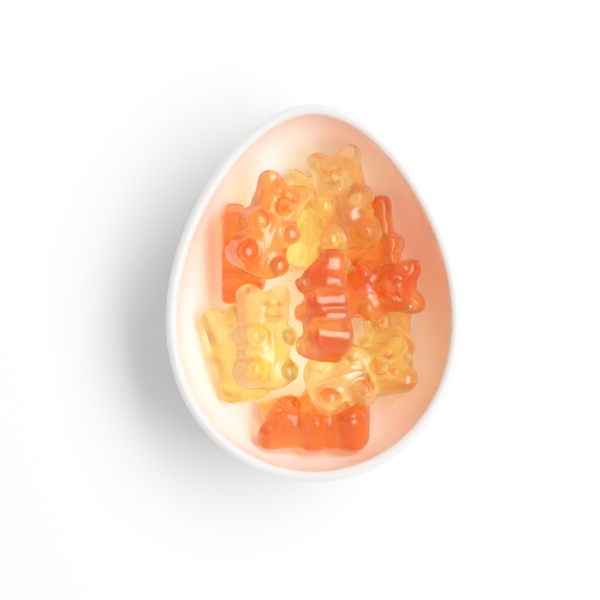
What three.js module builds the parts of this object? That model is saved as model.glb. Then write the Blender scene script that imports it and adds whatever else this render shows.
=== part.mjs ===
// A small egg-shaped porcelain bowl with twelve gummy bears piled in it.
// Millimetres, +Z up. The bowl's narrow end points to +Y. The origin is on the table, under the
// middle of the bowl. The bears all come from one mould, and each is laid on those beneath it.

import * as THREE from 'three';

// ------------------------------------------------------------------ driving dimensions: the bowl
const BOWL_LENGTH = 75.6;
const BOWL_WIDTH = 58.4; // across the egg before its taper, which swells it by 1%
const BOWL_HEIGHT = 30;
const WALL = 2.2;
const EGG_TAPER = 0.16;
const EGG_BULGE = 0.04;
const FLOOR_THICKNESS = 2.4;
const FOOT_SCALE = 0.56; // the foot ring's outer edge, as a share of the rim's outline
const FOOT_RING_SHARE = 0.07;
const FOOT_HEIGHT = 0.8;
const OUTER_ROUNDNESS = 2.6;
const INNER_ROUNDNESS = 3.6;
const BOWL_SEGMENTS = 44;
const WALL_STEPS = 7;
const RIM_STEPS = 4;

// ------------------------------------------------------------------ driving dimensions: one bear
// The bear lies on its back: +Y to its head, +X across, +Z out of its belly.
const BACK_DEPTH = 3.8;
const BACK_ROUNDING = 1.8;
const DRAFT = 0.12; // how fast the sides lean in towards the front
const SPINE_HALF_LENGTH = 5.5;
const NECK_FILLET = 2.4;
const EAR_FILLET = 1.6;
const LIMB_FILLET = 1.4;
const BELLY_FILLET = 1.2;
const SNOUT_FILLET = 1;
const PATCH_STEPS = 7;
const RAY_LENGTH = 9;
const RAY_STEPS = 60;
const BISECTIONS = 20;

// ------------------------------------------------------------------ driving dimensions: the pile
const GAP = 0.5;
const HEIGHT_CELL = 0.5;
const CELLS_KEPT_CLEAR = 1;

const PORCELAIN = { color: 0xf6f2ee, roughness: 0.18, metalness: 0 };
const ORANGE = { color: 0xfa7a42, roughness: 0.22, metalness: 0 };
const YELLOW = { color: 0xf8c873, roughness: 0.22, metalness: 0 };

// Each bear's place, pose in degrees and size, from the bottom of the pile to its top. turn swings
// the head counter-clockwise from +Y, tilt lifts the head, and roll turns the belly up to +X.
const BEARS = [
  { name: 'orange_bear_left', jelly: ORANGE, at: [-14.9, 7.6], turn: 0, tilt: 15, roll: 85, size: 0.9 },
  { name: 'yellow_bear_behind', jelly: YELLOW, at: [-0.9, 14.8], turn: 0, tilt: 10, roll: 0, size: 0.9 },
  { name: 'orange_bear_right', jelly: ORANGE, at: [12.4, 9.2], turn: 10, tilt: 0, roll: 160, size: 0.92 },
  { name: 'yellow_bear_left', jelly: YELLOW, at: [-15, -12.2], turn: 15, tilt: 5, roll: 140, size: 0.92 },
  { name: 'orange_bear_near', jelly: ORANGE, at: [0.3, -25.3], turn: 90, tilt: 0, roll: 50, size: 1.04 },
  { name: 'yellow_bear_right', jelly: YELLOW, at: [14.6, -10.8], turn: 3, tilt: -20, roll: -20, size: 0.9 },
  { name: 'yellow_bear_lower', jelly: YELLOW, at: [8.8, -16.4], turn: -74, tilt: 0, roll: -10, size: 1 },
  { name: 'yellow_bear_middle', jelly: YELLOW, at: [-9.7, -9], turn: -1, tilt: -5, roll: 25, size: 0.97 },
  { name: 'orange_bear_upper', jelly: ORANGE, at: [-8.8, 13.2], turn: -23, tilt: -5, roll: 18, size: 0.97 },
  { name: 'orange_bear_middle', jelly: ORANGE, at: [11, 0.4], turn: -84, tilt: 17, roll: 2, size: 0.98 },
  { name: 'yellow_bear_top', jelly: YELLOW, at: [5.8, 18.3], turn: 14, tilt: 0, roll: -10, size: 0.98 },
  { name: 'orange_bear_top', jelly: ORANGE, at: [2.1, -2.9], turn: 6, tilt: -20, roll: -72, size: 1 },
];

const vector = (x, y, z) => new THREE.Vector3(x, y, z);

function geometryFrom(points, faces) {
  const geometry = new THREE.BufferGeometry();
  geometry.setAttribute('position', new THREE.Float32BufferAttribute(points, 3));
  geometry.setIndex(faces);
  geometry.computeVertexNormals();
  return geometry;
}

function meshOf(name, geometry, finish) {
  const mesh = new THREE.Mesh(geometry, new THREE.MeshStandardMaterial(finish));
  mesh.name = name;
  return mesh;
}

// ------------------------------------------------------------------ the bowl
// The rim's outer outline, an egg: an ellipse that narrows towards +Y.
function eggPoint(angle) {
  const along = Math.cos(angle);
  const taper = 1 - EGG_TAPER * along - EGG_BULGE * along * along;
  return new THREE.Vector2(0.5 * BOWL_WIDTH * Math.sin(angle) * taper, 0.5 * BOWL_LENGTH * along);
}

function eggNormal(angle) {
  const step = 1e-3;
  const tangent = eggPoint(angle + step).sub(eggPoint(angle - step)).normalize();
  return new THREE.Vector2(-tangent.y, tangent.x);
}

// A quarter of a superellipse, from the middle at the bottom to the side at the top.
function wallCurve(step, roundness) {
  const turn = (step / WALL_STEPS) * (Math.PI / 2);
  const power = 2 / roundness;
  return { out: Math.sin(turn) ** power, up: 1 - Math.cos(turn) ** power };
}

// The wall's section from the foot ring, up the outside, over the rim and down to the floor.
// scale shrinks the egg outline, and inset moves it in from the outer edge.
function bowlSection() {
  const rimRadius = WALL / 2;
  const rimBase = BOWL_HEIGHT - rimRadius;
  const ringInner = FOOT_SCALE - FOOT_RING_SHARE;
  const slant = 0.02;
  const section = [
    { scale: ringInner - slant, inset: 0, z: FOOT_HEIGHT },
    { scale: ringInner, inset: 0, z: 0 },
    { scale: FOOT_SCALE, inset: 0, z: 0 },
  ];
  const wallFoot = FOOT_SCALE + slant;
  for (let i = 0; i <= WALL_STEPS; i += 1) {
    const { out, up } = wallCurve(i, OUTER_ROUNDNESS);
    const z = FOOT_HEIGHT + (rimBase - FOOT_HEIGHT) * up;
    section.push({ scale: wallFoot + (1 - wallFoot) * out, inset: 0, z });
  }
  for (let i = 1; i < RIM_STEPS; i += 1) {
    const turn = (i / RIM_STEPS) * Math.PI;
    const inset = rimRadius * (1 - Math.cos(turn));
    section.push({ scale: 1, inset, z: rimBase + rimRadius * Math.sin(turn) });
  }
  for (let i = WALL_STEPS; i > 0; i -= 1) {
    const { out, up } = wallCurve(i, INNER_ROUNDNESS);
    section.push({ scale: out, inset: WALL, z: FLOOR_THICKNESS + (rimBase - FLOOR_THICKNESS) * up });
  }
  return section;
}

function bowlGeometry() {
  const section = bowlSection();
  const points = [];
  for (const { scale, inset, z } of section) {
    for (let i = 0; i < BOWL_SEGMENTS; i += 1) {
      const angle = (i / BOWL_SEGMENTS) * 2 * Math.PI;
      const edge = eggPoint(angle).addScaledVector(eggNormal(angle), -inset).multiplyScalar(scale);
      points.push(edge.x, edge.y, z);
    }
  }
  const underside = points.length / 3;
  const floor = underside + 1;
  points.push(0, 0, FOOT_HEIGHT, 0, 0, FLOOR_THICKNESS);

  const faces = [];
  const lastRing = (section.length - 1) * BOWL_SEGMENTS;
  for (let i = 0; i < BOWL_SEGMENTS; i += 1) {
    const next = (i + 1) % BOWL_SEGMENTS;
    faces.push(underside, i, next);
    faces.push(floor, lastRing + next, lastRing + i);
    for (let ring = 0; ring < lastRing; ring += BOWL_SEGMENTS) {
      const above = ring + BOWL_SEGMENTS;
      faces.push(ring + i, above + i, above + next);
      faces.push(ring + i, above + next, ring + next);
    }
  }
  return geometryFrom(points, faces);
}

// ------------------------------------------------------------------ the bear's mould
// About how far a point lies outside an ellipsoid. Negative is inside, here and below.
function ellipsoid(point, centre, radii) {
  const offset = point.clone().sub(centre).divide(radii);
  const size = offset.length();
  const slope = offset.divide(radii).length();
  return (size * (size - 1)) / Math.max(slope, 1e-6);
}

// How far a point lies outside a block with rounded edges.
function block(point, centre, halfSize, rounding) {
  const past = (axis) => Math.abs(point[axis] - centre[axis]) - halfSize[axis] + rounding;
  const outside = vector(past('x'), past('y'), past('z'));
  const deepest = Math.max(outside.x, outside.y, outside.z);
  return outside.max(vector(0, 0, 0)).length() + Math.min(deepest, 0) - rounding;
}

// How far a point lies outside a round-ended bar between two points.
function bar(point, from, to, radius) {
  const axis = to.clone().sub(from);
  const along = THREE.MathUtils.clamp(point.clone().sub(from).dot(axis) / axis.lengthSq(), 0, 1);
  return point.distanceTo(from.clone().addScaledVector(axis, along)) - radius;
}

// The smaller of two distances, with the crease between them filled by a fillet.
function fillet(a, b, width) {
  const mix = Math.max(width - Math.abs(a - b), 0) / width;
  return Math.min(a, b) - (mix * mix * width) / 4;
}

// The forms that the bear is blended from. Its two sides are alike, so one of each pair is enough.
// Those that end at z = -8 or lower go through the back, which cuts them flat.
const TORSO = [vector(0, -3.8, -3), vector(5.6, 6.8, 6.8), 3];
const HEAD = [vector(0, 5.9, -3), vector(5.4, 3.8, 5.4), 2.4];
const BELLY = [vector(0, -3.2, 0.9), vector(4.2, 5.2, 3.7)];
const FACE = [vector(0, 5.3, 0.6), vector(4.4, 3.7, 3.9)];
const SNOUT = [vector(0, 4.8, 4.1), vector(1.8, 1.4, 1.2)];
const EAR = [vector(3.7, 9.1, -8), vector(3.6, 9.1, -0.8), 2];
const ARM = [vector(4.3, 0.5, -8), vector(3.7, 0.2, 2.9), 2.2];
const LEG = [vector(4.1, -7.2, -8), vector(3.7, -6.9, 3.2), 2.4];

// How far a point lies outside the mould. The torso and head widen towards the back.
function mould(point) {
  const half = vector(Math.abs(point.x), point.y, point.z);
  const drafted = half.clone();
  drafted.x += DRAFT * (half.z + BACK_DEPTH);
  let distance = fillet(block(drafted, ...TORSO), block(drafted, ...HEAD), NECK_FILLET);
  distance = fillet(distance, ellipsoid(half, ...BELLY), BELLY_FILLET);
  distance = fillet(distance, ellipsoid(half, ...FACE), BELLY_FILLET);
  distance = fillet(distance, ellipsoid(half, ...SNOUT), SNOUT_FILLET);
  distance = fillet(distance, bar(half, ...EAR), EAR_FILLET);
  distance = fillet(distance, bar(half, ...ARM), LIMB_FILLET);
  distance = fillet(distance, bar(half, ...LEG), LIMB_FILLET);
  return -fillet(-distance, half.z + BACK_DEPTH, BACK_ROUNDING);
}

// Rays leave the spine, a segment along Y, spread as they would from a long ball. Each goes out to
// where it last leaves the mould's form.
function surfacePoint(direction) {
  const start = vector(0, SPINE_HALF_LENGTH * direction.y, 0);
  const at = (length) => start.clone().addScaledVector(direction, length);
  const step = RAY_LENGTH / RAY_STEPS;
  let inside = RAY_LENGTH;
  while (inside > 0 && mould(at(inside)) > 0) {
    inside -= step;
  }
  let outside = inside + step;
  for (let i = 0; i < BISECTIONS; i += 1) {
    const middle = (inside + outside) / 2;
    if (mould(at(middle)) > 0) {
      outside = middle;
    } else {
      inside = middle;
    }
  }
  return at(inside);
}

// A point on one side of a cube, blown up to a ball of directions.
function cubeDirection(axes, side, u, v) {
  const spread = (value) => Math.tan((value * Math.PI) / 4);
  const direction = vector(0, 0, 0);
  direction.setComponent(axes[0], side);
  direction.setComponent(axes[1], side * spread(u));
  direction.setComponent(axes[2], spread(v));
  return direction.normalize();
}

// A grid on each of the cube's six sides, sharing the points along its edges.
function bearGeometry() {
  const indexOf = new Map();
  const points = [];
  const faces = [];
  const pointIndex = (direction) => {
    const key = direction.toArray().map((value) => Math.round(value * 1e5)).join();
    if (!indexOf.has(key)) {
      indexOf.set(key, points.length / 3);
      points.push(...surfacePoint(direction).toArray());
    }
    return indexOf.get(key);
  };
  const onGrid = (step) => (2 * step) / PATCH_STEPS - 1;
  for (const axes of [[0, 1, 2], [1, 2, 0], [2, 0, 1]]) {
    for (const side of [1, -1]) {
      const corner = (i, j) => pointIndex(cubeDirection(axes, side, onGrid(i), onGrid(j)));
      for (let i = 0; i < PATCH_STEPS; i += 1) {
        for (let j = 0; j < PATCH_STEPS; j += 1) {
          const [a, b, c, d] = [corner(i, j), corner(i + 1, j), corner(i + 1, j + 1), corner(i, j + 1)];
          faces.push(a, b, c, a, c, d);
        }
      }
    }
  }
  return geometryFrom(points, faces);
}

// ------------------------------------------------------------------ the pile
// The highest surface so far, over a grid of small cells. The next bear comes down onto it.
class PileHeights {
  constructor() {
    this.half = Math.ceil(BOWL_LENGTH / 2 / HEIGHT_CELL) + 2 * CELLS_KEPT_CLEAR;
    this.width = 2 * this.half + 1;
    this.top = new Float64Array(this.width * this.width).fill(0);
  }

  cell(i, j) {
    return (j + this.half) * this.width + i + this.half;
  }

  // Visits every cell under each triangle of a placed mesh, with the triangle's height there.
  eachCell(mesh, visit) {
    const { position } = mesh.geometry.attributes;
    const faces = mesh.geometry.index;
    const place = vector(0, 0, 0);
    const share = vector(0, 0, 0);
    for (let face = 0; face < faces.count; face += 3) {
      const corners = [0, 1, 2].map((i) => (
        vector(0, 0, 0).fromBufferAttribute(position, faces.getX(face + i)).applyMatrix4(mesh.matrixWorld)
      ));
      const heights = vector(...corners.map((corner) => corner.z));
      const box = new THREE.Box3().setFromPoints(corners);
      const plan = new THREE.Triangle(...corners.map((corner) => corner.setZ(0)));
      for (let i = Math.ceil(box.min.x / HEIGHT_CELL); i <= box.max.x / HEIGHT_CELL; i += 1) {
        for (let j = Math.ceil(box.min.y / HEIGHT_CELL); j <= box.max.y / HEIGHT_CELL; j += 1) {
          place.set(i * HEIGHT_CELL, j * HEIGHT_CELL, 0);
          const found = plan.getBarycoord(place, share);
          if (found && Math.min(share.x, share.y, share.z) >= 0) {
            visit(i, j, share.dot(heights));
          }
        }
      }
    }
  }

  add(mesh) {
    this.eachCell(mesh, (i, j, z) => {
      for (let across = -CELLS_KEPT_CLEAR; across <= CELLS_KEPT_CLEAR; across += 1) {
        for (let along = -CELLS_KEPT_CLEAR; along <= CELLS_KEPT_CLEAR; along += 1) {
          const cell = this.cell(i + across, j + along);
          this.top[cell] = Math.max(this.top[cell], z);
        }
      }
    });
  }

  // How far a mesh modelled about z = 0 is lifted to lie just clear of the pile.
  liftFor(mesh) {
    let lift = 0;
    this.eachCell(mesh, (i, j, z) => {
      lift = Math.max(lift, this.top[this.cell(i, j)] - z);
    });
    return lift + GAP;
  }
}

const group = new THREE.Group();
const bowl = meshOf('bowl', bowlGeometry(), PORCELAIN);
group.add(bowl);

const pile = new PileHeights();
pile.add(bowl);
const bearMould = bearGeometry();
for (const { name, jelly, at, turn, tilt, roll, size } of BEARS) {
  const bear = meshOf(name, bearMould.clone().scale(size, size, size), jelly);
  bear.rotation.set(...[tilt, roll, turn].map(THREE.MathUtils.degToRad), 'ZXY');
  bear.position.set(...at, 0);
  bear.updateMatrixWorld();
  bear.position.z = pile.liftFor(bear);
  bear.updateMatrixWorld();
  pile.add(bear);
  group.add(bear);
}

export default group;
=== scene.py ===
"""A small egg-shaped porcelain bowl with twelve gummy bears piled in it, seen from straight above.

Metres, +Z up. The bowl's narrow end points to +Y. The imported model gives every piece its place.
"""

import math

import bpy
import numpy as np
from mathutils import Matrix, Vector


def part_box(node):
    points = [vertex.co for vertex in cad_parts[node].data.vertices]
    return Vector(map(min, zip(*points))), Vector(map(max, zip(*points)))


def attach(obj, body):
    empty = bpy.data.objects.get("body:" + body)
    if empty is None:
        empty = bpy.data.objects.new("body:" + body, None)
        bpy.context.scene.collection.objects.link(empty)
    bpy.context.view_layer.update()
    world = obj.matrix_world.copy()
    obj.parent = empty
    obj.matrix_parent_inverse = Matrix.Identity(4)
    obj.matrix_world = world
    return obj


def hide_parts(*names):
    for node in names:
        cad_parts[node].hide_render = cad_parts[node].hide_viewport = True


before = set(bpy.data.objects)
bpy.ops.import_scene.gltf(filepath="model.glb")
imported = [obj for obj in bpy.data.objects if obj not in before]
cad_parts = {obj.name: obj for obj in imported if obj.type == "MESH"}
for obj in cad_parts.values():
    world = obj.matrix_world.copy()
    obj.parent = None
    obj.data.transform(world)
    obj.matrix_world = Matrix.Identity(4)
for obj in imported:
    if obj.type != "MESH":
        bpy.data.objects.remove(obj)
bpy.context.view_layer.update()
scene = bpy.context.scene


# ---------------------------------------------------------------------------------------- camera
# A long lens straight above the bowl, with the narrow end up in the picture. It looks a little to
# the left of the bowl and towards its wide end, where the shadow falls.
CAMERA_HEIGHT = 1.5
VIEW_WIDTH = 0.120
VIEW_LEVEL = 0.024  # the height at which the picture is as wide as VIEW_WIDTH
VIEW_CENTRE = (-0.0028, -0.0014)

camera_data = bpy.data.cameras.new("camera")
camera_data.sensor_width = 36.0
camera_data.lens = camera_data.sensor_width * (CAMERA_HEIGHT - VIEW_LEVEL) / VIEW_WIDTH
camera_data.clip_end = 20.0
camera = bpy.data.objects.new("camera", camera_data)
camera.location = (*VIEW_CENTRE, CAMERA_HEIGHT)
scene.collection.objects.link(camera)
scene.camera = camera
scene.view_settings.view_transform = "Standard"

# A soft shoulder, as film has: whites a little brighter than white keep some shading.
WHITE_LEVEL = 1.2
film_curve = scene.view_settings.curve_mapping
scene.view_settings.use_curve_mapping = True
film_curve.white_level = (WHITE_LEVEL, WHITE_LEVEL, WHITE_LEVEL)
for bright, shown in ((0.4, 0.41), (0.75, 0.76), (1.0, 0.93)):
    film_curve.curves[3].points.new(bright / WHITE_LEVEL, shown)
film_curve.update()


# ----------------------------------------------------------------------------------------- studio
# A white softbox to the right throws a soft shadow to the left. White walls all round, brighter
# than the ceiling, fill the rest. A direction's Z tells walls from ceiling, with a blend between.
SOFTBOX_ELEVATION = math.radians(65)
SOFTBOX_AZIMUTH = math.radians(12)
SOFTBOX_DISTANCE = 0.7
SOFTBOX_ACROSS = 0.32
SOFTBOX_ALONG = 0.7
SOFTBOX_RADIANCE = 8.0
CEILING_RADIANCE = 0.48
WALL_RADIANCE = 1.4
WALL_TOP = 0.05
CEILING_EDGE = 0.3

softbox_data = bpy.data.lights.new("softbox", "AREA")
softbox_data.shape = "RECTANGLE"
softbox_data.size = SOFTBOX_ACROSS
softbox_data.size_y = SOFTBOX_ALONG
softbox_data.energy = SOFTBOX_RADIANCE * math.pi * SOFTBOX_ACROSS * SOFTBOX_ALONG
softbox = bpy.data.objects.new("softbox", softbox_data)
softbox.location = (
    SOFTBOX_DISTANCE * math.cos(SOFTBOX_ELEVATION) * math.cos(SOFTBOX_AZIMUTH),
    SOFTBOX_DISTANCE * math.cos(SOFTBOX_ELEVATION) * math.sin(SOFTBOX_AZIMUTH),
    SOFTBOX_DISTANCE * math.sin(SOFTBOX_ELEVATION),
)
softbox.rotation_euler = (0.0, math.pi / 2 - SOFTBOX_ELEVATION, SOFTBOX_AZIMUTH)
softbox.visible_camera = False
scene.collection.objects.link(softbox)

room = bpy.data.worlds.new("white_room")
room.use_nodes = True
room_nodes, room_links = room.node_tree.nodes, room.node_tree.links
looking = room_nodes.new("ShaderNodeTexCoord")
looking_parts = room_nodes.new("ShaderNodeSeparateXYZ")
radiance = room_nodes.new("ShaderNodeMapRange")
radiance.inputs["From Min"].default_value = WALL_TOP
radiance.inputs["From Max"].default_value = CEILING_EDGE
radiance.inputs["To Min"].default_value = WALL_RADIANCE
radiance.inputs["To Max"].default_value = CEILING_RADIANCE
room_links.new(looking.outputs["Generated"], looking_parts.inputs["Vector"])
room_links.new(looking_parts.outputs["Z"], radiance.inputs["Value"])
room_nodes["Background"].inputs["Color"].default_value = (1.0, 1.0, 1.0, 1.0)
room_links.new(radiance.outputs["Result"], room_nodes["Background"].inputs["Strength"])
scene.world = room

# Light has to pass through several bears, one behind the other.
scene.cycles.max_bounces = 32
scene.cycles.transmission_bounces = 32
scene.cycles.glossy_bounces = 32
scene.cycles.diffuse_bounces = 12
scene.cycles.blur_glossy = 0.0  # the filter would lose light between the bears and the bowl


# ------------------------------------------------------------------------------------------ table
# A plain white table top, which isn't part of the object. It is made of smooth painted board.
TABLE_HALF_SIZE = 1.5


def material(name):
    """A new node material, with its Principled node."""
    made = bpy.data.materials.new(name)
    made.use_nodes = True
    return made, made.node_tree.nodes["Principled BSDF"]


def add_node(tree, kind, **settings):
    """A new node of that kind in a material's tree or a group's, with its own settings."""
    node = tree.nodes.new(kind)
    for setting, value in settings.items():
        setattr(node, setting, value)
    return node


def mesh_object(name, points, faces, made, smooth=True):
    """An object at the origin, with its place in its mesh."""
    mesh = bpy.data.meshes.new(name)
    mesh.from_pydata(points.tolist(), [], faces)
    mesh.polygons.foreach_set("use_smooth", np.full(len(mesh.polygons), smooth))
    mesh.materials.append(made)
    mesh.update()
    piece = bpy.data.objects.new(name, mesh)
    scene.collection.objects.link(piece)
    return piece


board, board_shader = material("painted_board")
board_shader.inputs["Base Color"].default_value = (0.89, 0.89, 0.89, 1.0)
board_shader.inputs["Roughness"].default_value = 0.6
table_corners = TABLE_HALF_SIZE * np.array([[-1, -1, 0], [1, -1, 0], [1, 1, 0], [-1, 1, 0]])
table = mesh_object("table", table_corners, [(0, 1, 2, 3)], board, smooth=False)


# ------------------------------------------------------------------------------------------- bowl
# An egg-shaped dip bowl of white porcelain, slip-cast with a rounded lip and a low foot ring, then
# glazed all over except under the ring, which the kiln shelf keeps bare.
MM = 0.001
WALL = 2.2 * MM
EGG_TAPER = 0.16
EGG_BULGE = 0.04
EGG_WIDTH_SHARE = 1.0115  # how much the taper widens the egg
FLOOR_THICKNESS = 2.4 * MM
FOOT_SCALE = 0.56  # the foot ring's outer edge, as a share of the outline
FOOT_RING_SHARE = 0.07
FOOT_TO_WALL = 0.02
FOOT_HEIGHT = 0.8 * MM
FOOT_EDGE_ROUNDNESS = 6.0
OUTER_ROUNDNESS = 2.6
INNER_ROUNDNESS = 3.6
LIP_DEPTH = 1.2 * MM  # how far below the rim the painted shade on the lip starts
GLAZE_EDGE = 0.45 * MM
BARE_HEIGHT = 0.25 * MM
BOWL_SEGMENTS = 240
RECESS_STEPS = 8
FOOT_STEPS = 24
WALL_STEPS = 40
RIM_STEPS = 16

bowl_low, bowl_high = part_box("bowl")
bowl_size = bowl_high - bowl_low


def egg_outline(angle):
    """The rim's outer outline: an ellipse whose width shrinks towards +Y, as a share that falls
    with the cosine of the angle and with its square."""
    along = np.cos(angle)
    taper = 1 - EGG_TAPER * along - EGG_BULGE * along * along
    half_width = 0.5 * bowl_size.x / EGG_WIDTH_SHARE
    return np.stack([half_width * np.sin(angle) * taper, 0.5 * bowl_size.y * along], -1)


def egg_normals(angle):
    """The outward direction at each point of the outline, square to the line between the points
    just before and after it."""
    step = 1e-3
    tangent = egg_outline(angle + step) - egg_outline(angle - step)
    tangent /= np.linalg.norm(tangent, axis=-1, keepdims=True)
    return np.stack([-tangent[:, 1], tangent[:, 0]], -1)


def superellipse_quarter(steps, roundness):
    """From the middle of a bowl's bottom to the top of its side: how far out and how far up, as a
    quarter of a superellipse. A higher roundness gives a fuller corner."""
    turn = np.linspace(0, np.pi / 2, steps + 1)
    return np.sin(turn) ** (2 / roundness), 1 - np.cos(turn) ** (2 / roundness)


def bowl_section():
    """The wall's section, as rows of outline scale, inset and height: the underside's recess, the
    foot ring, the outside, the half-round lip, and the inside down to the floor."""
    rim_radius = WALL / 2
    rim_base = bowl_size.z - rim_radius
    ring_inner = FOOT_SCALE - FOOT_RING_SHARE
    wall_foot = FOOT_SCALE + FOOT_TO_WALL

    across = np.linspace(0.02, ring_inner - 0.03, RECESS_STEPS)
    recess = np.stack([across, 0 * across, 0 * across + FOOT_HEIGHT], -1)
    turn = np.linspace(0, np.pi, FOOT_STEPS + 1)
    swing = np.sign(-np.cos(turn)) * np.abs(np.cos(turn)) ** (2 / FOOT_EDGE_ROUNDNESS)
    drop = np.sin(turn) ** (2 / FOOT_EDGE_ROUNDNESS)
    middle = (ring_inner + FOOT_SCALE) / 2
    ring = np.stack([middle + 0.5 * FOOT_RING_SHARE * swing, 0 * turn,
                     FOOT_HEIGHT * (1 - drop)], -1)

    out, up = superellipse_quarter(WALL_STEPS, OUTER_ROUNDNESS)
    outside = np.stack([wall_foot + (1 - wall_foot) * out, 0 * out,
                        FOOT_HEIGHT + (rim_base - FOOT_HEIGHT) * up], -1)
    turn = np.linspace(0, np.pi, RIM_STEPS + 1)[1:-1]
    lip = np.stack([0 * turn + 1, rim_radius * (1 - np.cos(turn)),
                    rim_base + rim_radius * np.sin(turn)], -1)
    out, up = superellipse_quarter(2 * WALL_STEPS, INNER_ROUNDNESS)
    inside = np.stack([out, 0 * out + WALL,
                       FLOOR_THICKNESS + (rim_base - FLOOR_THICKNESS) * up], -1)[:0:-1]
    return np.concatenate([recess, ring, outside, lip, inside])


def loft(section, segments):
    """The section carried round the egg outline. A point is the outline's, moved in by the row's
    inset, then scaled by the row's scale, at the row's height. A point closes each end."""
    angle = np.arange(segments) / segments * 2 * np.pi
    scale, inset, height = (column[:, None, None] for column in section.T)
    edge = scale * (egg_outline(angle) - inset * egg_normals(angle))
    rings = np.concatenate([edge, np.broadcast_to(height, edge.shape[:2] + (1,))], -1)
    points = np.concatenate([rings.reshape(-1, 3), [[0, 0, section[0, 2]], [0, 0, section[-1, 2]]]])

    first = np.arange(len(section) - 1)[:, None] * segments + np.arange(segments)
    here, there = np.arange(segments), (np.arange(segments) + 1) % segments
    following = first - here + there
    walls = np.stack([first, first + segments, following + segments, following], -1).reshape(-1, 4)
    below, above = len(points) - 2, len(points) - 1
    last = (len(section) - 1) * segments
    bottom = np.stack([0 * here + below, here, there], -1)
    top = np.stack([0 * here + above, last + there, last + here], -1)
    return points, walls.tolist() + bottom.tolist() + top.tolist()


porcelain, porcelain_shader = material("glazed_porcelain")
porcelain_tree, porcelain_links = porcelain.node_tree, porcelain.node_tree.links
place = add_node(porcelain_tree, "ShaderNodeTexCoord")
place_parts = add_node(porcelain_tree, "ShaderNodeSeparateXYZ")
porcelain_links.new(place.outputs["Object"], place_parts.inputs["Vector"])

# The glaze pools unevenly, so its gloss and its surface wander a little.
pooling = add_node(porcelain_tree, "ShaderNodeTexNoise")
pooling.inputs["Scale"].default_value = 70.0
pooling.inputs["Detail"].default_value = 2.0
porcelain_links.new(place.outputs["Object"], pooling.inputs["Vector"])
glaze_roughness = add_node(porcelain_tree, "ShaderNodeMapRange")
glaze_roughness.inputs["To Min"].default_value = 0.28
glaze_roughness.inputs["To Max"].default_value = 0.42
porcelain_links.new(pooling.outputs["Fac"], glaze_roughness.inputs["Value"])
waviness = add_node(porcelain_tree, "ShaderNodeBump")
waviness.inputs["Strength"].default_value = 0.2
waviness.inputs["Distance"].default_value = 0.2 * MM
porcelain_links.new(pooling.outputs["Fac"], waviness.inputs["Height"])
porcelain_links.new(waviness.outputs["Normal"], porcelain_shader.inputs["Normal"])

# The glaze's colour turns darker and warmer over the lip: painted shade that keeps the lit lip from
# standing out whiter than the inside. The glaze stops above the foot ring's bare cream clay.
lip_shade_share = add_node(porcelain_tree, "ShaderNodeMapRange")
lip_shade_share.inputs["From Min"].default_value = bowl_size.z - LIP_DEPTH
lip_shade_share.inputs["From Max"].default_value = bowl_size.z
porcelain_links.new(place_parts.outputs["Z"], lip_shade_share.inputs["Value"])
glaze_with_lip_shade = add_node(porcelain_tree, "ShaderNodeMix", data_type="RGBA")
glaze_with_lip_shade.inputs["A"].default_value = (0.915, 0.92, 0.93, 1.0)
# B is the painted shade over the lip, a darker, warmer white.
glaze_with_lip_shade.inputs["B"].default_value = (0.66, 0.635, 0.61, 1.0)
porcelain_links.new(lip_shade_share.outputs["Result"], glaze_with_lip_shade.inputs["Factor"])
bareness = add_node(porcelain_tree, "ShaderNodeMapRange")
bareness.inputs["From Min"].default_value = GLAZE_EDGE
bareness.inputs["From Max"].default_value = BARE_HEIGHT
porcelain_links.new(place_parts.outputs["Z"], bareness.inputs["Value"])
glaze_or_clay = add_node(porcelain_tree, "ShaderNodeMix", data_type="RGBA")
glaze_or_clay.inputs["B"].default_value = (0.78, 0.72, 0.62, 1.0)
porcelain_links.new(bareness.outputs["Result"], glaze_or_clay.inputs["Factor"])
porcelain_links.new(glaze_with_lip_shade.outputs["Result"], glaze_or_clay.inputs["A"])
porcelain_links.new(glaze_or_clay.outputs["Result"], porcelain_shader.inputs["Base Color"])
gloss_or_matt = add_node(porcelain_tree, "ShaderNodeMix")
gloss_or_matt.inputs["B"].default_value = 0.85
porcelain_links.new(bareness.outputs["Result"], gloss_or_matt.inputs["Factor"])
porcelain_links.new(glaze_roughness.outputs["Result"], gloss_or_matt.inputs["A"])
porcelain_links.new(gloss_or_matt.outputs["Result"], porcelain_shader.inputs["Roughness"])

bowl = mesh_object("glazed_bowl", *loft(bowl_section(), BOWL_SEGMENTS), porcelain)
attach(bowl, "root")
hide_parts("bowl")


# ------------------------------------------------------------------------------------ bears' mould
# A gummy bear lies on its flat back in the starch mould that gives it its form: head, ears, snout,
# belly, arms and legs. Here it lies with +Y to its head, +X across and +Z out of its belly, in mm.
PACKED_STEPS = 7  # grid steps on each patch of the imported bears
GRID_STEPS = 8 * PACKED_STEPS
SPINE_HALF_LENGTH = 5.5
BACK_DEPTH = 3.8
BACK_ROUNDING = 1.8
DRAFT = 0.12  # how fast the sides lean in towards the front
TORSO = ((0, -3.8, -3), (5.6, 6.8, 6.8), 3)  # centre, half size, rounding
HEAD = ((0, 5.9, -3), (5.4, 3.8, 5.4), 2.4)
BELLY = ((0, -3.2, 0.9), (4.2, 5.2, 3.7))  # centre, radii
FACE = ((0, 5.3, 0.6), (4.4, 3.7, 3.9))
SNOUT = ((0, 4.8, 4.1), (1.8, 1.4, 1.2))
EAR = ((3.7, 9.1, -8), (3.6, 9.1, -0.8), 2)  # start, end, radius
ARM = ((4.3, 0.5, -8), (3.7, 0.2, 2.9), 2.2)
LEG = ((4.1, -7.2, -8), (3.7, -6.9, 3.2), 2.4)
NECK_FILLET = 2.4
BELLY_FILLET = 1.2
SNOUT_FILLET = 1.0
EAR_FILLET = 1.6
LIMB_FILLET = 1.4
RAY_LENGTH = 9.0
RAY_STEPS = 60
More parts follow.
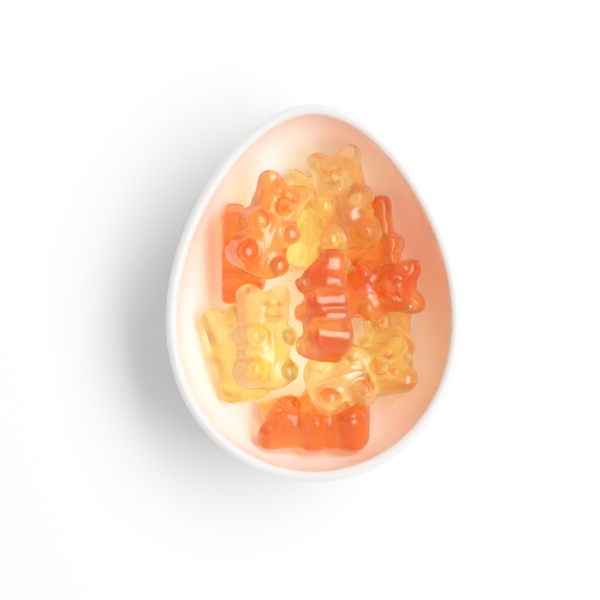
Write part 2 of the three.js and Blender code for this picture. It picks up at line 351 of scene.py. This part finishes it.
BISECTIONS = 20
EYE_ASIDE = 1.7
EYE_LEVEL = 7.0
MOUTH_LEVEL = 3.9
MOUTH_CURVE = 0.15  # how fast the mouth's corners rise
PAW_ASIDE = 3.7
PAWS = ((0.2, 2.0), (-6.9, 2.2))  # level, radius
FLANK_GROOVES = ((2.4, 0.35), (-2.0, 0.45), (-4.2, 0.35), (-6.6, 0.3))  # level, depth
PEBBLE_WAVE_COUNT = 6
PEBBLE_WAVE_RATE = 5.7  # radians for each mm
PEBBLE_HEIGHT = 0.22
SWAY_WAVES = 3
SWAY_RATE = 0.5  # radians for each mm
SWAY = 0.05


def ellipsoid(points, centre, radii):
    """About how far points lie outside an ellipsoid. Negative is inside, here and below."""
    offset = (points - centre) / radii
    size = np.linalg.norm(offset, axis=-1)
    slope = np.linalg.norm(offset / radii, axis=-1)
    return size * (size - 1) / np.maximum(slope, 1e-6)


def block(points, centre, half_size, rounding):
    """How far points lie outside a block with rounded edges."""
    past = np.abs(points - np.array(centre)) - (np.array(half_size) - rounding)
    return np.linalg.norm(np.maximum(past, 0), axis=-1) + np.minimum(past.max(-1), 0) - rounding


def bar(points, start, end, radius):
    """How far points lie outside a round-ended bar between two points."""
    axis = np.array(end) - start
    along = np.clip((points - start) @ axis / (axis @ axis), 0, 1)
    return np.linalg.norm(points - start - along[..., None] * axis, axis=-1) - radius


def fillet(a, b, width):
    """The smaller of two distances, with the crease between them filled by a fillet."""
    mix = np.maximum(width - np.abs(a - b), 0) / width
    return np.minimum(a, b) - mix * mix * width / 4


def mould(points):
    """How far points lie outside the bear: a torso and a head as rounded blocks that widen towards
    the back, a belly and snout as ellipsoids, and ears, arms and legs as round-ended bars that
    rise from the back. They are joined by fillets and cut flat by the back."""
    half = points.copy()
    half[..., 0] = np.abs(half[..., 0])
    drafted = half.copy()
    drafted[..., 0] += DRAFT * (half[..., 2] + BACK_DEPTH)
    distance = fillet(block(drafted, *TORSO), block(drafted, *HEAD), NECK_FILLET)
    for swelling, width in ((BELLY, BELLY_FILLET), (FACE, BELLY_FILLET), (SNOUT, SNOUT_FILLET)):
        distance = fillet(distance, ellipsoid(half, *swelling), width)
    for limb, width in ((EAR, EAR_FILLET), (ARM, LIMB_FILLET), (LEG, LIMB_FILLET)):
        distance = fillet(distance, bar(half, *limb), width)
    return -fillet(-distance, half[..., 2] + BACK_DEPTH, BACK_ROUNDING)


def ball_directions(steps):
    """Directions on six square grids, one for each side of a cube blown up to a ball."""
    spread = np.tan(np.linspace(-1, 1, steps + 1) * np.pi / 4)
    u, v = np.meshgrid(spread, spread, indexing="ij")
    patches = []
    for axes in ((0, 1, 2), (1, 2, 0), (2, 0, 1)):
        for side in (1, -1):
            direction = np.empty(u.shape + (3,))
            direction[..., axes[0]] = side
            direction[..., axes[1]] = side * u
            direction[..., axes[2]] = v
            patches.append(direction / np.linalg.norm(direction, axis=-1, keepdims=True))
    return np.array(patches)


def mould_surface(directions):
    """Rays leave the spine, a segment along Y, spread as from a long ball. Each goes out to where
    it last leaves the mould's form, found by steps inwards and then by halving."""
    start = SPINE_HALF_LENGTH * directions * [0, 1, 0]
    inside = np.zeros(directions.shape[:-1])
    found = np.zeros(directions.shape[:-1], bool)
    for length in np.linspace(RAY_LENGTH, 0, RAY_STEPS + 1):
        reached = ~found & (mould(start + length * directions) <= 0)
        inside[reached] = length
        found |= reached
    outside = inside + RAY_LENGTH / RAY_STEPS
    for _ in range(BISECTIONS):
        middle = (inside + outside) / 2
        out = mould(start + middle[..., None] * directions) > 0
        outside = np.where(out, middle, outside)
        inside = np.where(out, inside, middle)
    return start + inside[..., None] * directions


def mould_normals(points):
    """The outward direction at each surface point: the slope of the distance from the mould."""
    step = 1e-3
    offsets = step * np.eye(3)
    slope = np.stack([mould(points + offset) - mould(points - offset) for offset in offsets], -1)
    return slope / np.linalg.norm(slope, axis=-1, keepdims=True)


def hump(distance, width):
    """A smooth hump of height 1 that fades to nothing at about twice its width."""
    return np.exp(-((distance / width) ** 2))


def fade(value, start, end):
    """0 before start, 1 after end, and a smooth turn between them."""
    share = np.clip((value - start) / (end - start), 0, 1)
    return share * share * (3 - 2 * share)


def front_facing(normals):
    """0 on the sides and the back, 1 on the front, and a smooth turn between them."""
    return fade(normals[..., 2], 0.2, 0.6)


def above_mouth(points):
    """How far a point lies above the mouth's curve, which is a parabola across the face."""
    return points[..., 1] - MOUTH_LEVEL - MOUTH_CURVE * points[..., 0] * points[..., 0]


def pebbled(points, normals):
    """Where the skin is pebbly, from 0 to 1: on the muzzle, and fading out over the cheeks."""
    x, y = points[..., 0], points[..., 1]
    return front_facing(normals) * hump(np.hypot(x, y - 5.4), 3.0)


def pebble_waves(points):
    """Small bumps about 1.1 mm apart, from -1 to 1: the mean of some sine waves in directions and
    phases drawn from a seed."""
    draw = np.random.default_rng(20)
    waves = draw.normal(size=(PEBBLE_WAVE_COUNT, 3))
    waves *= PEBBLE_WAVE_RATE / np.linalg.norm(waves, axis=-1, keepdims=True)
    return np.sin(points @ waves.T + draw.uniform(0, 2 * np.pi, PEBBLE_WAVE_COUNT)).mean(-1)


def mould_relief(points, normals):
    """How far the fine relief stands out of the form: a nose, pressed-in eyes, mouth and ears,
    a groove round the muzzle, a seam down the front, a ring and a dimple on each paw, soft grooves
    across the flanks, and the pebbly patch."""
    x, y, z = points[..., 0], points[..., 1], points[..., 2]
    side = np.abs(x)
    eyes = -0.8 * hump(np.hypot(side - EYE_ASIDE, y - EYE_LEVEL), 0.55)
    nose = 0.5 * hump(np.hypot(x, 1.3 * (y - 5.5)), 0.6)
    muzzle = -0.45 * hump(np.hypot(x, y - 4.8) - 2.3, 0.35)
    mouth = -0.6 * hump(above_mouth(points), 0.25) * fade(side, 1.5, 0.9)
    ears = -0.55 * hump(np.hypot(side - 3.7, y - 9.2), 0.9)
    seam = 0.07 * hump(side, 0.25) * fade(y, -8.6, -7.6) * fade(y, 2.0, 1.2)
    paws = np.zeros_like(y)
    for level, radius in PAWS:
        from_paw = np.hypot(side - PAW_ASIDE, y - level)
        paws -= 0.3 * hump(from_paw - radius, 0.3) + 0.12 * hump(from_paw, 0.5)
    flank = fade(np.abs(normals[..., 0]), 0.5, 0.85) * fade(z, 2.4, 0.5)
    grooves = np.zeros_like(y)
    for level, depth in FLANK_GROOVES:
        grooves -= depth * hump(y - level, 0.5)
    pebbles = PEBBLE_HEIGHT * pebbled(points, normals) * pebble_waves(points)
    front = eyes + nose + muzzle + mouth + ears + seam + paws
    return front_facing(normals) * front + flank * grooves + pebbles


def face_shade_share(points, normals):
    """How far a point lies in the painted shade of the face, from 0 to 1: in an eye, in the mouth,
    or under the nose."""
    x, y = points[..., 0], points[..., 1]
    eyes = hump(np.hypot(np.abs(x) - EYE_ASIDE, y - EYE_LEVEL), 0.75)
    mouth = hump(above_mouth(points), 0.4) * fade(np.abs(x), 1.6, 1.0)
    under_nose = hump(np.hypot(x, y - 4.9), 0.5)
    return front_facing(normals) * np.minimum(eyes + mouth + under_nose, 1)


ball = ball_directions(GRID_STEPS)
bear_form = mould_surface(ball)
bear_normals = mould_normals(bear_form)
bear_fine = bear_form + mould_relief(bear_form, bear_normals)[..., None] * bear_normals
packed_stride = GRID_STEPS // PACKED_STEPS
bear_packed = bear_form[:, ::packed_stride, ::packed_stride].reshape(-1, 3)

# The patches share the points along their edges, so that the skin is closed.
_, shared, patch_points = np.unique(
    np.round(ball.reshape(-1, 3), 6), axis=0, return_index=True, return_inverse=True)
grid = patch_points.reshape(ball.shape[:-1])
bear_faces = np.stack([grid[:, :-1, :-1], grid[:, 1:, :-1], grid[:, 1:, 1:], grid[:, :-1, 1:]], -1)
bear_faces = bear_faces.reshape(-1, 4).tolist()
bear_fine = bear_fine.reshape(-1, 3)[shared]
bear_pebbles = pebbled(bear_form, bear_normals).reshape(-1)[shared]
# Painted shade in the eyes, the mouth and under the nose, as a share for each point.
bear_face_shade = face_shade_share(bear_form, bear_normals).reshape(-1)[shared]


def turned(points, turn, tilt, roll):
    """Points rolled about Y, then tilted about X, then turned about Z, all in degrees."""
    for angle, axis in ((roll, 1), (tilt, 0), (turn, 2)):
        cosine, sine = math.cos(math.radians(angle)), math.sin(math.radians(angle))
        first, second = (axis + 1) % 3, (axis + 2) % 3
        spun = points.copy()
        spun[:, first] = cosine * points[:, first] - sine * points[:, second]
        spun[:, second] = sine * points[:, first] + cosine * points[:, second]
        points = spun
    return points


def slumped(points, seed):
    """Points swayed by a few slow sine waves, with directions and phases drawn from the seed, so
    that no two bears are quite alike."""
    draw = np.random.default_rng(seed)
    swayed = points.copy()
    for _ in range(SWAY_WAVES):
        along, sideways = draw.normal(size=(2, 3))
        phase = draw.uniform(0, 2 * np.pi)
        wave = np.sin(points @ along * SWAY_RATE / np.linalg.norm(along) + phase)
        swayed += SWAY * wave[:, None] * sideways / np.linalg.norm(sideways)
    return swayed


def lay_bear(node, jelly, seed, turn, tilt, roll, size):
    """A bear from the mould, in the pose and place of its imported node."""
    low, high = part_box(node)
    packed = turned(bear_packed * size * MM, turn, tilt, roll)
    place = (np.array(low) + np.array(high) - packed.min(0) - packed.max(0)) / 2
    points = turned(slumped(bear_fine, seed) * size * MM, turn, tilt, roll) + place
    bear = mesh_object("gummy_" + node, points, bear_faces, jelly)
    bear.data.attributes.new("pebbles", "FLOAT", "POINT").data.foreach_set("value", bear_pebbles)
    # The face's painted shade goes with the mesh, for the material.
    bear.data.attributes.new("painted_face_shade", "FLOAT", "POINT").data.foreach_set("value", bear_face_shade)
    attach(bear, "root")
    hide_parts(node)


def gelatine_body_group():
    """What both gelatines share inside: a soft noise mixes a clear and a cloudy colour, a deeper
    colour is painted as shade in the eyes, the mouth and under the nose, and the haze grows with
    the cloudiness."""
    group = bpy.data.node_groups.new("gelatine_body", "ShaderNodeTree")
    for socket in ("Clear", "Cloudy", "Painted_Shade"):
        group.interface.new_socket(socket, in_out="INPUT", socket_type="NodeSocketColor")
    group.interface.new_socket("Colour", in_out="OUTPUT", socket_type="NodeSocketColor")
    group.interface.new_socket("Haze", in_out="OUTPUT", socket_type="NodeSocketFloat")
    given, given_back = add_node(group, "NodeGroupInput"), add_node(group, "NodeGroupOutput")

    where = add_node(group, "ShaderNodeTexCoord")
    clouds = add_node(group, "ShaderNodeTexNoise")
    clouds.inputs["Scale"].default_value = 160.0
    group.links.new(where.outputs["Object"], clouds.inputs["Vector"])
    colour = add_node(group, "ShaderNodeMix", data_type="RGBA")
    group.links.new(clouds.outputs["Fac"], colour.inputs["Factor"])
    group.links.new(given.outputs["Clear"], colour.inputs["A"])
    group.links.new(given.outputs["Cloudy"], colour.inputs["B"])
    # Where the face's painted shade lies: in the eyes, the mouth and under the nose.
    face_shade_mask = add_node(group, "ShaderNodeAttribute", attribute_name="painted_face_shade")
    face_shaded_colour = add_node(group, "ShaderNodeMix", data_type="RGBA")
    group.links.new(face_shade_mask.outputs["Fac"], face_shaded_colour.inputs["Factor"])
    group.links.new(colour.outputs["Result"], face_shaded_colour.inputs["A"])
    group.links.new(given.outputs["Painted_Shade"], face_shaded_colour.inputs["B"])
    group.links.new(face_shaded_colour.outputs["Result"], given_back.inputs["Colour"])
    haze = add_node(group, "ShaderNodeMapRange")
    haze.inputs["To Min"].default_value = 0.29
    haze.inputs["To Max"].default_value = 0.39
    group.links.new(clouds.outputs["Fac"], haze.inputs["Value"])
    group.links.new(haze.outputs["Result"], given_back.inputs["Haze"])
    return group


gelatine_body = gelatine_body_group()


def jelly_material(name, clear, cloudy, painted_face_shade, gleam, absorption):
    """Moist gelatine: a clear wet skin over a hazy body that light passes through, cloudier in
    places, with a deeper colour painted as shade in the eyes, the mouth and under the nose, and
    with an even absorption inside.
    absorption is per metre, for red, green and blue."""
    made, shader = material(name)
    tree, links = made.node_tree, made.node_tree.links
    body = add_node(tree, "ShaderNodeGroup", node_tree=gelatine_body)
    for socket, tone in (("Clear", clear), ("Cloudy", cloudy), ("Painted_Shade", painted_face_shade)):
        body.inputs[socket].default_value = (*tone, 1.0)
    links.new(body.outputs["Colour"], shader.inputs["Base Color"])
    links.new(body.outputs["Haze"], shader.inputs["Roughness"])

    # The starch leaves faint dimples all over, and a pebbly patch on each face.
    where = add_node(tree, "ShaderNodeTexCoord")
    dimples = add_node(tree, "ShaderNodeTexNoise")
    dimples.inputs["Scale"].default_value = 450.0
    links.new(where.outputs["Object"], dimples.inputs["Vector"])
    pebbles = add_node(tree, "ShaderNodeTexNoise")
    pebbles.inputs["Scale"].default_value = 1200.0
    links.new(where.outputs["Object"], pebbles.inputs["Vector"])
    pebble_patch = add_node(tree, "ShaderNodeAttribute", attribute_name="pebbles")
    pebble_height = add_node(tree, "ShaderNodeMath", operation="MULTIPLY")
    links.new(pebbles.outputs["Fac"], pebble_height.inputs[0])
    links.new(pebble_patch.outputs["Fac"], pebble_height.inputs[1])
    height = add_node(tree, "ShaderNodeMath", operation="MULTIPLY_ADD")
    height.inputs[1].default_value = 3.0
    links.new(pebble_height.outputs["Value"], height.inputs[0])
    links.new(dimples.outputs["Fac"], height.inputs[2])
    skin = add_node(tree, "ShaderNodeBump")
    skin.inputs["Strength"].default_value = 0.8
    skin.inputs["Distance"].default_value = 0.25 * MM
    links.new(height.outputs["Value"], skin.inputs["Height"])
    links.new(skin.outputs["Normal"], shader.inputs["Normal"])
    links.new(skin.outputs["Normal"], shader.inputs["Coat Normal"])

    shader.inputs["Specular Tint"].default_value = (*gleam, 1.0)
    shader.inputs["Transmission Weight"].default_value = 0.99
    shader.inputs["Subsurface Weight"].default_value = 1.0
    shader.inputs["Subsurface Radius"].default_value = (1.0, 0.5, 0.25)
    shader.inputs["Subsurface Scale"].default_value = 0.006
    shader.inputs["IOR"].default_value = 1.45
    shader.inputs["Coat Weight"].default_value = 0.7
    shader.inputs["Coat Roughness"].default_value = 0.09
    density = max(absorption)
    inside = add_node(tree, "ShaderNodeVolumeAbsorption")
    inside.inputs["Color"].default_value = (*(1 - value / density for value in absorption), 1.0)
    inside.inputs["Density"].default_value = density
    links.new(inside.outputs["Volume"], tree.nodes["Material Output"].inputs["Volume"])
    return made


# ----------------------------------------------------------------------------------- orange bears
# Six bears of clear orange gelatine. Each is laid in its own place, turned, tilted and rolled as it
# fell, and none is quite the size of the next.
# The deeper face colour is painted shade in the eyes, the mouth and under the nose.
orange_jelly = jelly_material(
    "orange_gelatine", clear=(1.0, 0.97, 0.9), cloudy=(1.0, 0.88, 0.78), painted_face_shade=(1.0, 0.35, 0.15),
    gleam=(1.0, 0.7, 0.5), absorption=(0.1, 70, 190))
lay_bear("orange_bear_left", orange_jelly, seed=1, turn=0, tilt=15, roll=85, size=0.9)
lay_bear("orange_bear_right", orange_jelly, seed=2, turn=10, tilt=0, roll=160, size=0.92)
lay_bear("orange_bear_near", orange_jelly, seed=3, turn=90, tilt=0, roll=50, size=1.04)
lay_bear("orange_bear_upper", orange_jelly, seed=4, turn=-23, tilt=-5, roll=18, size=0.97)
lay_bear("orange_bear_middle", orange_jelly, seed=5, turn=-84, tilt=17, roll=2, size=0.98)
lay_bear("orange_bear_top", orange_jelly, seed=6, turn=6, tilt=-20, roll=-72, size=1)


# ----------------------------------------------------------------------------------- yellow bears
# Six bears of clear amber-yellow gelatine from the same mould.
# The deeper face colour is painted shade in the eyes, the mouth and under the nose.
yellow_jelly = jelly_material(
    "yellow_gelatine", clear=(1.0, 1.0, 0.97), cloudy=(1.0, 0.98, 0.9), painted_face_shade=(1.0, 0.4, 0.1),
    gleam=(1.0, 0.92, 0.7), absorption=(0.1, 16, 90))
lay_bear("yellow_bear_behind", yellow_jelly, seed=7, turn=0, tilt=10, roll=0, size=0.9)
lay_bear("yellow_bear_left", yellow_jelly, seed=8, turn=15, tilt=5, roll=140, size=0.92)
lay_bear("yellow_bear_right", yellow_jelly, seed=9, turn=3, tilt=-20, roll=-20, size=0.9)
lay_bear("yellow_bear_lower", yellow_jelly, seed=10, turn=-74, tilt=0, roll=-10, size=1)
lay_bear("yellow_bear_middle", yellow_jelly, seed=11, turn=-1, tilt=-5, roll=25, size=0.97)
lay_bear("yellow_bear_top", yellow_jelly, seed=12, turn=14, tilt=0, roll=-10, size=0.98)
